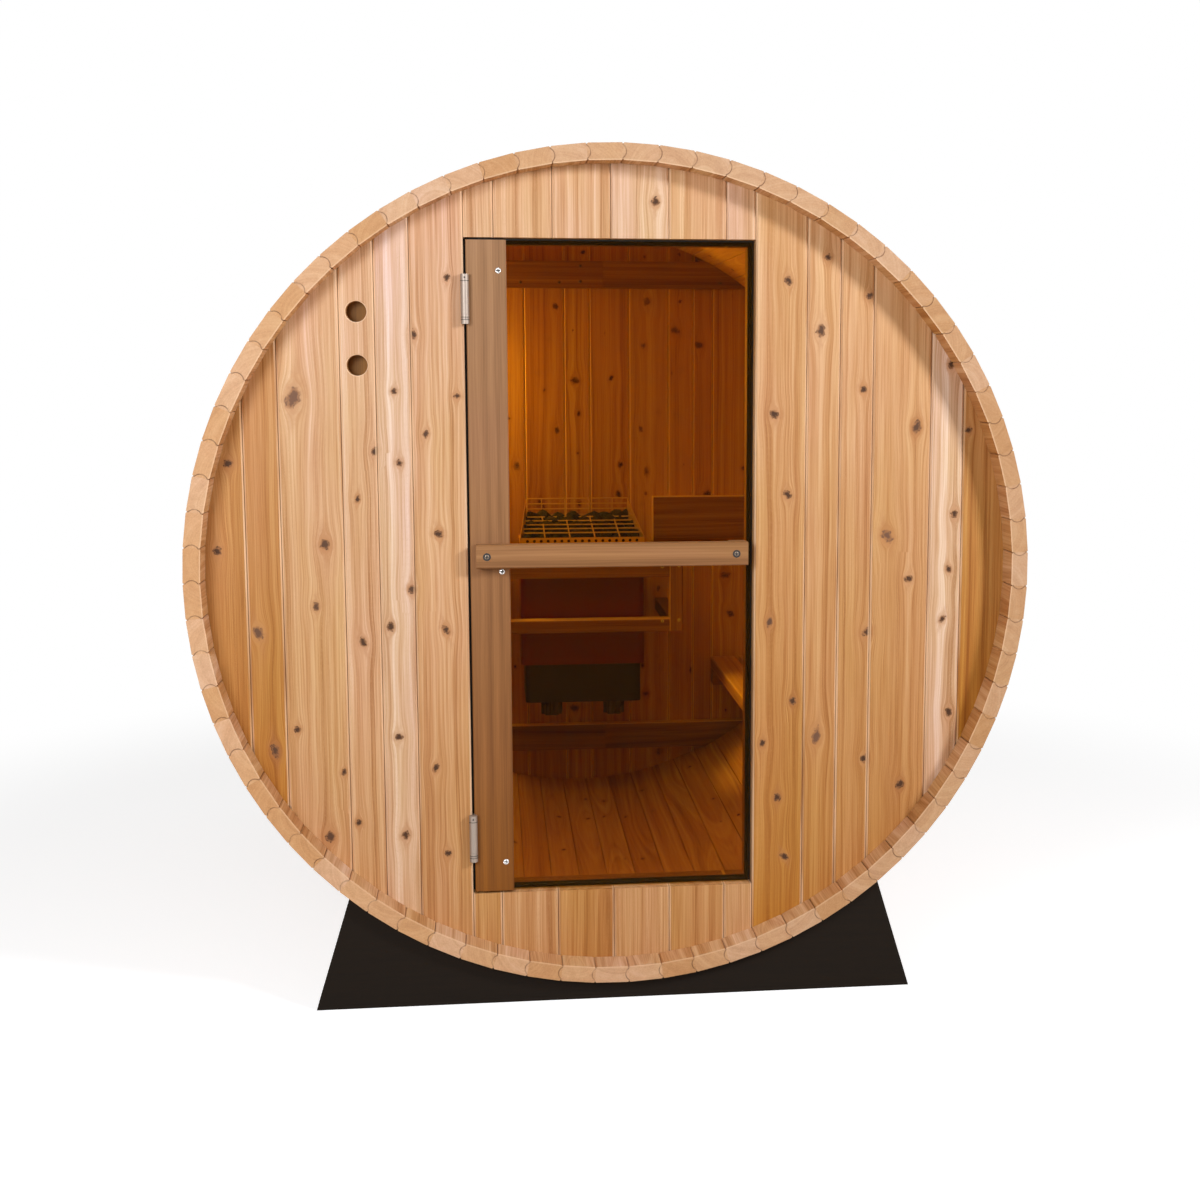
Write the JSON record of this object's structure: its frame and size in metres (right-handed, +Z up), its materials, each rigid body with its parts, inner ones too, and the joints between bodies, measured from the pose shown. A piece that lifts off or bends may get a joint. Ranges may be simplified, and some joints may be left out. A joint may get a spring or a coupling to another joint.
{
  "type": "barrel sauna",
  "caption": "Round barrel sauna cabin of bead-and-cove cedar staves on cradles, with a hinged bronze glass door, side benches and a guarded wall-hung heater.",
  "frame": {"origin": "on the ground under the middle of the barrel", "axes": "+Z up, barrel axis along Y, the door faces -Y, +X to the right of someone facing the door"},
  "size_m": [1.8334, 1.76, 1.8759],
  "materials": {
    "cedar_staves": "planed, unfinished cedar",
    "cedar_boards": "planed, knotty cedar",
    "cedar_trim": "planed cedar",
    "black_stain": "black-stained sawn wood",
    "band_steel": "satin strap",
    "hinge_steel": "satin",
    "bronze_glass": "clear bronze tint",
    "seal_rubber": "matt",
    "heater_steel": "polished sheet",
    "casing_enamel": "dark red enamel",
    "heater_stone": "rough stone",
    "control_black": "semi-matt enamel",
    "knob_black": "moulded"
  },
  "bodies": {
    "shell": {"staves_01": "cedar_staves", "staves_02": "cedar_staves", "staves_03": "cedar_staves", "staves_04": "cedar_staves", "staves_05": "cedar_staves", "staves_06": "cedar_staves", "staves_07": "cedar_staves", "staves_08": "cedar_staves", "staves_09": "cedar_staves", "staves_10": "cedar_staves", "staves_11": "cedar_staves", "staves_12": "cedar_staves", "staves_13": "cedar_staves", "staves_14": "cedar_staves", "staves_15": "cedar_staves", "front_wall_left": "cedar_boards", "vent_board": "cedar_boards", "front_wall_right": "cedar_boards", "front_wall_over_door": "cedar_boards", "front_wall_under_door": "cedar_boards", "rear_wall": "cedar_boards", "vent_cover": "cedar_trim", "door_stops": "cedar_trim", "rear_battens": "cedar_trim", "backrest": "cedar_trim", "guard_posts": "cedar_trim", "guard_front_rails": "cedar_trim", "guard_side_rails": "cedar_trim", "bench_left": "cedar_trim", "bench_right": "cedar_trim", "bench_cleats": "cedar_trim", "front_cradle": "black_stain", "rear_cradle": "black_stain", "hoop_bands": "band_steel", "frame_hinge_leaves": "hinge_steel", "door_seal": "seal_rubber", "heater_casing": "casing_enamel", "stone_basket": "heater_steel", "stone_guard": "heater_steel", "stone_grid": "heater_steel", "heater_bracket": "heater_steel", "heater_stones": "heater_stone", "control_box": "control_black"},
    "door": {"door_glass": "bronze_glass", "door_stile": "cedar_trim", "door_handle": "cedar_trim", "handle_spacer": "cedar_trim", "door_hinge_leaves": "hinge_steel"},
    "timer_knob": {"timer_knob": "knob_black"},
    "thermostat_knob": {"thermostat_knob": "knob_black"}
  },
  "joints": [
    {"name": "door_hinge", "type": "hinge", "parent": "shell", "child": "door", "pos_m": [-0.3185, -0.8265, 0.9607], "axis": [0, 0, -1], "range_deg": [0, 110], "stiffness_Nm_per_rad": 2},
    {"name": "timer_turn", "type": "hinge", "parent": "shell", "child": "timer_knob", "pos_m": [-0.096, 0.471, 0.3858], "axis": [0, 0, -1], "range_deg": [0, 270]},
    {"name": "thermostat_turn", "type": "hinge", "parent": "shell", "child": "thermostat_knob", "pos_m": [0.092, 0.471, 0.3858], "axis": [0, 0, -1], "range_deg": [0, 270]}
  ]
}
